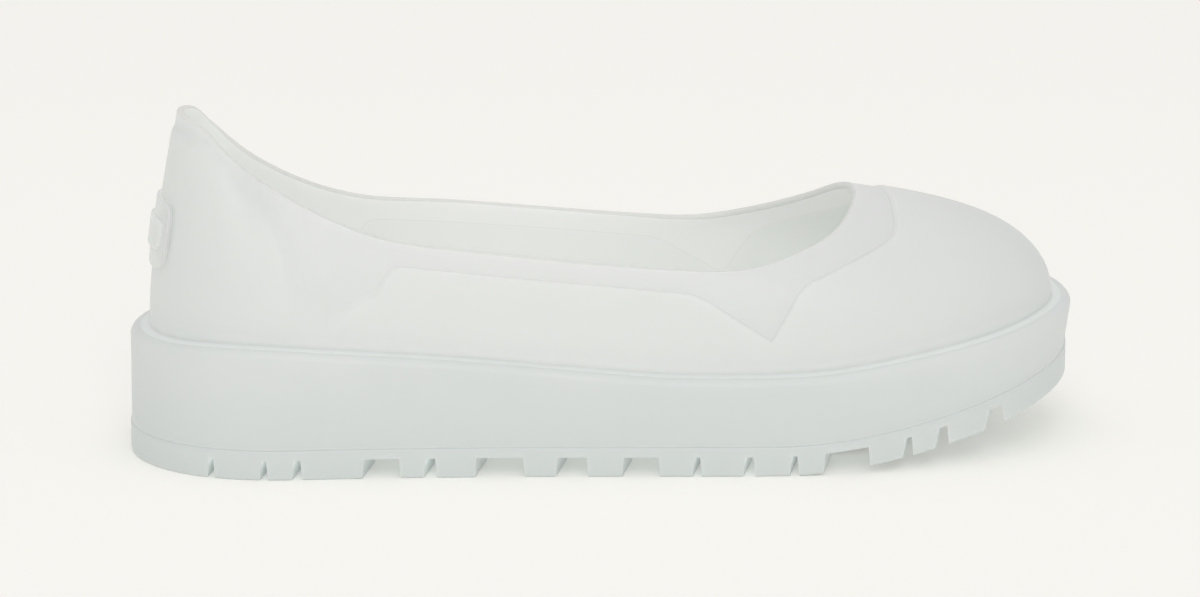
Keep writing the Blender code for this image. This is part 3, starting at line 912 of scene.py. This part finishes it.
def make_heel_badge():
    """Plain plate with a raised pad on the back of the heel."""
    def surface(turn, rise):
        handles = np.array([rib_handles(turn + nudge) for nudge in (-TURN_NUDGE, 0, TURN_NUDGE)])
        points, ways = along_ribs(handles, np.full((3, 1), rise))
        around = points[2, 0] - points[0, 0]
        normal = unit(np.cross(around, ways[1, 0]))
        return points[1, 0], around / (2 * TURN_NUDGE), ways[1, 0], normal

    def heel_point(across, height, offset):
        turn = -across / BALL_HALF_WIDTH
        rise = BADGE_SEARCH_START
        for _ in range(BADGE_SEARCH_STEPS):
            here, by_turn, by_rise, _normal = surface(turn, rise)
            miss_across = across - here[1]
            miss_height = height - here[2]
            spread = by_turn[1] * by_rise[2] - by_rise[1] * by_turn[2]
            turn += (miss_across * by_rise[2] - miss_height * by_rise[1]) / spread
            rise += (miss_height * by_turn[1] - miss_across * by_turn[2]) / spread
        here, _by_turn, _by_rise, normal = surface(turn, rise)
        return here + offset * normal

    def loop(half_width, half_height, offset):
        points = []
        for step in range(BADGE_POINTS):
            angle = 2 * math.pi * step / BADGE_POINTS
            wide = math.cos(angle)
            high = (1 - min(abs(wide), 1) ** BADGE_SQUARENESS) ** (1 / BADGE_SQUARENESS)
            height = BADGE_HEIGHT + math.copysign(half_height * high, math.sin(angle))
            points.append(heel_point(half_width * wide, height, offset))
        return np.array(points)

    def eased(half_width, half_height, foot, top):
        rings = []
        for step in range(BADGE_EASE_STEPS + 1):
            angle = math.pi / 2 * step / BADGE_EASE_STEPS
            inset = BADGE_EASE * (1 - math.cos(angle))
            drop = BADGE_EASE * (1 - math.sin(angle))
            rings.append(loop(half_width - inset, half_height - inset, top - drop))
        return [loop(half_width, half_height, foot)] + rings

    plate = FIT_GAP + BADGE_THICKNESS
    pad = plate + PAD_THICKNESS
    back = [loop(BADGE_HALF_WIDTH * share, BADGE_HALF_HEIGHT * share, CLEARANCE)
            for share in BADGE_FACE_SHARES]
    front = [loop(PAD_HALF_WIDTH * share, PAD_HALF_HEIGHT * share, pad)
             for share in BADGE_FACE_SHARES[::-1]]
    rings = back + eased(BADGE_HALF_WIDTH, BADGE_HALF_HEIGHT, CLEARANCE, plate)
    rings += eased(PAD_HALF_WIDTH, PAD_HALF_HEIGHT, plate, pad) + front
    mesh = grid_mesh("badge_plate", rings, False)
    # Painted light: emission on the plate's back, lifting the shade seen through the heel, and on its
    # foot ring, lifting the dark outline
    glow = [BADGE_BACK_GLOW] * len(back) + [BADGE_EDGE_GLOW] + [0.0] * (len(rings) - len(back) - 1)
    paint(mesh, "glow", np.repeat(glow, BADGE_POINTS))
    item = add_object("badge_plate", mesh)
    smooth(item)
    hold(item, "heel_badge")
    return item


def mixed(tree, share, base, colour):
    """Output of a node that mixes a colour into a base, by a share."""
    layer = tree.nodes.new("ShaderNodeMix")
    layer.data_type = "RGBA"
    layer.inputs[7].default_value = (*colour, 1)
    tree.links.new(share, layer.inputs[0])
    tree.links.new(base, layer.inputs[6])
    return layer.outputs[2]


def faded(tree, value, start, end, first, last):
    """Output of a node that runs softly from a first to a last number as a value goes by."""
    fade = tree.nodes.new("ShaderNodeMapRange")
    fade.interpolation_type = "SMOOTHSTEP"
    fade.inputs["From Min"].default_value = start
    fade.inputs["From Max"].default_value = end
    fade.inputs["To Min"].default_value = first
    fade.inputs["To Max"].default_value = last
    tree.links.new(value, fade.inputs["Value"])
    return fade.outputs["Result"]


def stored(tree, attribute):
    """Output of a node that reads a number stored on the points."""
    reader = tree.nodes.new("ShaderNodeAttribute")
    reader.attribute_name = attribute
    return reader.outputs["Fac"]


def frosted_rubber(rubber):
    """Milky rubber: light scattered below the surface, faint clouds and a fine satin grain."""
    finish = bpy.data.materials.new(rubber.name)
    finish.use_nodes = True
    tree = finish.node_tree
    nodes = tree.nodes
    links = tree.links
    shader = nodes["Principled BSDF"]
    shader.inputs["Metallic"].default_value = 0
    shader.inputs["IOR"].default_value = RUBBER_IOR
    shader.inputs["Specular IOR Level"].default_value = RUBBER_SPECULAR
    shader.inputs["Subsurface Weight"].default_value = rubber.scatter
    shader.inputs["Subsurface Radius"].default_value = SCATTER_BALANCE
    shader.inputs["Subsurface Scale"].default_value = rubber.scatter_reach
    shader.inputs["Coat Weight"].default_value = RUBBER_COAT
    shader.inputs["Coat Roughness"].default_value = RUBBER_COAT_ROUGHNESS

    place = nodes.new("ShaderNodeTexCoord")
    cloud = nodes.new("ShaderNodeTexNoise")
    cloud.inputs["Scale"].default_value = CLOUD_SIZE
    cloud.inputs["Detail"].default_value = CLOUD_DETAIL
    links.new(place.outputs["Object"], cloud.inputs["Vector"])
    blend = nodes.new("ShaderNodeMix")
    blend.data_type = "RGBA"
    blend.inputs[6].default_value = (*rubber.colour, 1)
    blend.inputs[7].default_value = (*rubber.deep_colour, 1)
    links.new(cloud.outputs["Fac"], blend.inputs[0])
    base = blend.outputs[2]

    axes = nodes.new("ShaderNodeSeparateXYZ")
    links.new(place.outputs["Object"], axes.inputs[0])
    depth = faded(tree, axes.outputs["Z"], rubber.deep_below, rubber.light_above, 1, 0)
    base = mixed(tree, depth, base, rubber.deep_colour)

    # Painted shade: darker towards the heel and toe, by the distance from the middle
    reach_out = nodes.new("ShaderNodeMath")
    reach_out.operation = "ABSOLUTE"
    links.new(axes.outputs["X"], reach_out.inputs[0])
    end_shade = faded(tree, reach_out.outputs[0], END_SHADE_START, END_SHADE_FULL, 0, rubber.end_share)
    base = mixed(tree, end_shade, base, END_SHADE_COLOUR)

    # The thick panels take their deeper colour, and the stored stripes take painted shade
    for attribute, strength, tint in (("thick", THICK_STRENGTH, rubber.deep_colour),
                                      ("shade_line", LINE_SHADE_STRENGTH, LINE_SHADE_COLOUR)):
        share = nodes.new("ShaderNodeMath")
        share.operation = "MULTIPLY"
        share.inputs[1].default_value = strength
        links.new(stored(tree, attribute), share.inputs[0])
        base = mixed(tree, share.outputs[0], base, tint)
    links.new(base, shader.inputs["Base Color"])
    # Painted light: the stored glow makes the surface shine in the rubber's own colour
    shader.inputs["Emission Color"].default_value = (*rubber.colour, 1)
    links.new(stored(tree, "glow"), shader.inputs["Emission Strength"])

    grain = nodes.new("ShaderNodeTexNoise")
    grain.inputs["Scale"].default_value = rubber.grain_size
    grain.inputs["Detail"].default_value = GRAIN_DETAIL
    links.new(place.outputs["Object"], grain.inputs["Vector"])
    rough = nodes.new("ShaderNodeMapRange")
    rough.inputs["To Min"].default_value = ROUGHNESS_LOW
    rough.inputs["To Max"].default_value = ROUGHNESS_HIGH
    links.new(grain.outputs["Fac"], rough.inputs["Value"])
    links.new(rough.outputs["Result"], shader.inputs["Roughness"])
    bump = nodes.new("ShaderNodeBump")
    bump.inputs["Strength"].default_value = GRAIN_STRENGTH
    bump.inputs["Distance"].default_value = rubber.grain_depth
    links.new(grain.outputs["Fac"], bump.inputs["Height"])
    links.new(bump.outputs["Normal"], shader.inputs["Normal"])
    return finish


def dress(item, finish):
    """Give a piece one material."""
    item.data.materials.clear()
    item.data.materials.append(finish)


def make_floor():
    """Plain pale floor that runs out of view."""
    half = FLOOR_HALF
    mesh = bpy.data.meshes.new("floor")
    mesh.from_pydata([(-half, -half, 0), (half, -half, 0), (half, half, 0), (-half, half, 0)], [],
                     [(0, 1, 2, 3)])
    floor = bpy.data.objects.new("floor", mesh)
    bpy.context.collection.objects.link(floor)
    finish = bpy.data.materials.new("floor")
    finish.use_nodes = True
    shader = finish.node_tree.nodes["Principled BSDF"]
    shader.inputs["Base Color"].default_value = (*FLOOR_COLOUR, 1)
    shader.inputs["Emission Color"].default_value = (*FLOOR_GLOW_COLOUR, 1)
    shader.inputs["Emission Strength"].default_value = FLOOR_GLOW
    shader.inputs["Roughness"].default_value = FLOOR_ROUGHNESS
    shader.inputs["Specular IOR Level"].default_value = 0
    dress(floor, finish)


def soft_light(row):
    """Large soft lamp that looks at a point."""
    lamp = bpy.data.lights.new(row.name, "AREA")
    lamp.shape = "RECTANGLE"
    lamp.size, lamp.size_y = row.size
    lamp.energy = row.power
    lamp.color = row.colour
    item = bpy.data.objects.new(row.name, lamp)
    item.location = row.place
    item.rotation_euler = (Vector(row.aim) - Vector(row.place)).to_track_quat("-Z", "Y").to_euler()
    bpy.context.collection.objects.link(item)


def light_scene():
    """Pale even surroundings, dimmer at the sides, with a soft lamp above and one in front."""
    scene = bpy.context.scene
    world = bpy.data.worlds.new("surroundings")
    world.use_nodes = True
    nodes = world.node_tree.nodes
    links = world.node_tree.links
    sky = nodes["Background"]
    sky.inputs["Color"].default_value = (*SKY_COLOUR, 1)
    place = nodes.new("ShaderNodeTexCoord")
    axes = nodes.new("ShaderNodeSeparateXYZ")
    sideways = nodes.new("ShaderNodeMath")
    sideways.operation = "ABSOLUTE"
    fade = nodes.new("ShaderNodeMapRange")
    fade.inputs["From Min"].default_value = SKY_MIDDLE
    fade.inputs["From Max"].default_value = SKY_SIDES
    fade.inputs["To Min"].default_value = SKY_MIDDLE_STRENGTH
    fade.inputs["To Max"].default_value = SKY_SIDES_STRENGTH
    links.new(place.outputs["Generated"], axes.inputs[0])
    links.new(axes.outputs["X"], sideways.inputs[0])
    links.new(sideways.outputs[0], fade.inputs["Value"])
    links.new(fade.outputs["Result"], sky.inputs["Strength"])
    scene.world = world
    for row in LAMPS:
        soft_light(row)
    scene.view_settings.view_transform = "Standard"
    scene.view_settings.look = "None"


def place_camera():
    """Camera at the photograph's angle, from a little above the outer side."""
    lens = bpy.data.cameras.new("camera")
    lens.sensor_width = CAMERA_SENSOR
    lens.sensor_fit = "HORIZONTAL"
    lens.lens = PHOTO_FOCAL / PHOTO_WIDTH * lens.sensor_width
    lens.clip_end = CAMERA_FAR
    item = bpy.data.objects.new("camera", lens)
    away = Vector((math.sin(CAMERA_AZIMUTH) * math.cos(CAMERA_ELEVATION),
                   -math.cos(CAMERA_AZIMUTH) * math.cos(CAMERA_ELEVATION), math.sin(CAMERA_ELEVATION)))
    item.location = Vector(CAMERA_TARGET) + CAMERA_DISTANCE * away
    item.rotation_euler = (-away).to_track_quat("-Z", "Y").to_euler()
    bpy.context.collection.objects.link(item)
    bpy.context.scene.camera = item


def main():
    """Build the pieces, their materials and the studio."""
    rubbers = [frosted_rubber(row) for row in (UPPER_RUBBER, CUP_RUBBER, TREAD_RUBBER, BADGE_RUBBER)]
    pieces = (make_upper, make_sole_cup, make_outsole, make_heel_badge)
    for make, rubber in zip(pieces, rubbers):
        dress(make(), rubber)
    make_floor()
    light_scene()
    place_camera()


main()
